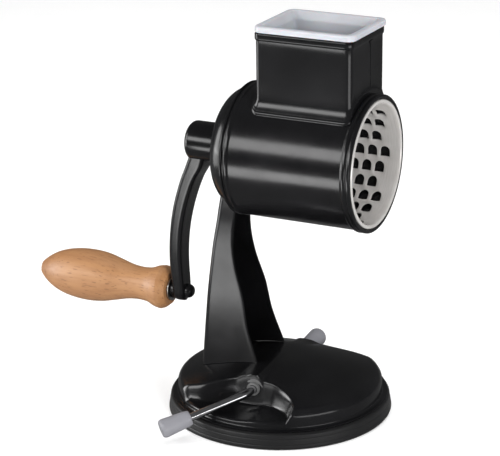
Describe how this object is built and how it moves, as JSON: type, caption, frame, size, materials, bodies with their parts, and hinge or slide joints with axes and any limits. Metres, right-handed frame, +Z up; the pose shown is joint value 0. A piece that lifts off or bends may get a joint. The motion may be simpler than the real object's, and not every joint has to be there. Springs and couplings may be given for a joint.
{
  "type": "rotary cheese grater",
  "caption": "Hand-cranked rotary cheese grater: open drum in a black enamelled housing with a square hopper and pusher, on a column over a lever-clamped suction base.",
  "frame": {"origin": "centre of the suction pad's flat underside, on the surface that the grater stands on", "axes": "+Z up; +X along the drum's axis towards its open mouth, so the crank is at -X; the clamp lever leaves the base on the -Y side"},
  "size_m": [0.2405, 0.158, 0.249],
  "materials": {
    "black_enamel": "gloss",
    "stainless_steel": "bright brushed",
    "zinc_plated_steel": "satin",
    "chrome": "polished",
    "rubber": "satin",
    "beech": "oiled, satin",
    "grey_cap_plastic": "matte",
    "pusher_plastic": "semi-gloss",
    "bush_plastic": "matte"
  },
  "bodies": {
    "stand": {"suction_pad": "rubber", "base_casing": "black_enamel", "guide_plate": "zinc_plated_steel", "axle_bush_front": "bush_plastic", "axle_bush_rear": "bush_plastic", "column": "black_enamel", "column_rivet_1": "black_enamel", "column_rivet_2": "black_enamel", "tab_screw_1": "zinc_plated_steel", "tab_screw_2": "zinc_plated_steel", "tab_nut_1": "zinc_plated_steel", "tab_nut_2": "zinc_plated_steel", "drum_housing": "black_enamel", "rear_cover": "black_enamel", "hopper": "black_enamel", "shaft_bush": "bush_plastic", "bush_lock_nut": "zinc_plated_steel"},
    "crank": {"crank_arm": "black_enamel", "hub_set_screw": "zinc_plated_steel", "drive_shaft": "stainless_steel", "thrust_washer": "zinc_plated_steel", "grater_drum": "stainless_steel", "drum_end_plate": "stainless_steel", "drum_washer": "zinc_plated_steel", "drum_nut": "zinc_plated_steel", "handle_bolt": "zinc_plated_steel", "handle_washer": "zinc_plated_steel", "handle_nut": "black_enamel"},
    "handle": {"handle_grip": "beech"},
    "lever": {"clamp_lever": "chrome", "lever_grip": "grey_cap_plastic", "axle_end_cap": "grey_cap_plastic"},
    "stem": {"clamp_stem": "zinc_plated_steel", "stem_foot": "zinc_plated_steel"},
    "pusher": {"food_pusher": "pusher_plastic"}
  },
  "joints": [
    {"name": "crank_spin", "type": "hinge", "parent": "stand", "child": "crank", "pos_m": [0, 0, 0.1664], "axis": [1, 0, 0], "continuous": true},
    {"name": "handle_spin", "type": "hinge", "parent": "crank", "child": "handle", "pos_m": [-0.12, 0, 0.066], "axis": [1, 0, 0], "continuous": true},
    {"name": "lever_turn", "type": "hinge", "parent": "stand", "child": "lever", "pos_m": [0, 0, 0.025], "axis": [0, 1, 0], "range_deg": [0, 180]},
    {"name": "stem_lift", "type": "slide", "parent": "stand", "child": "stem", "axis": [0, 0, 1], "range_m": [0, 0.004], "deforming": ["suction_pad"]},
    {"name": "pusher_slide", "type": "slide", "parent": "stand", "child": "pusher", "axis": [0, 0, 1], "range_m": [0, 0.07]}
  ],
  "couplings": [
    {"joint": "stem_lift", "follows": "lever_turn", "m_per_rad": 0.001273}
  ]
}
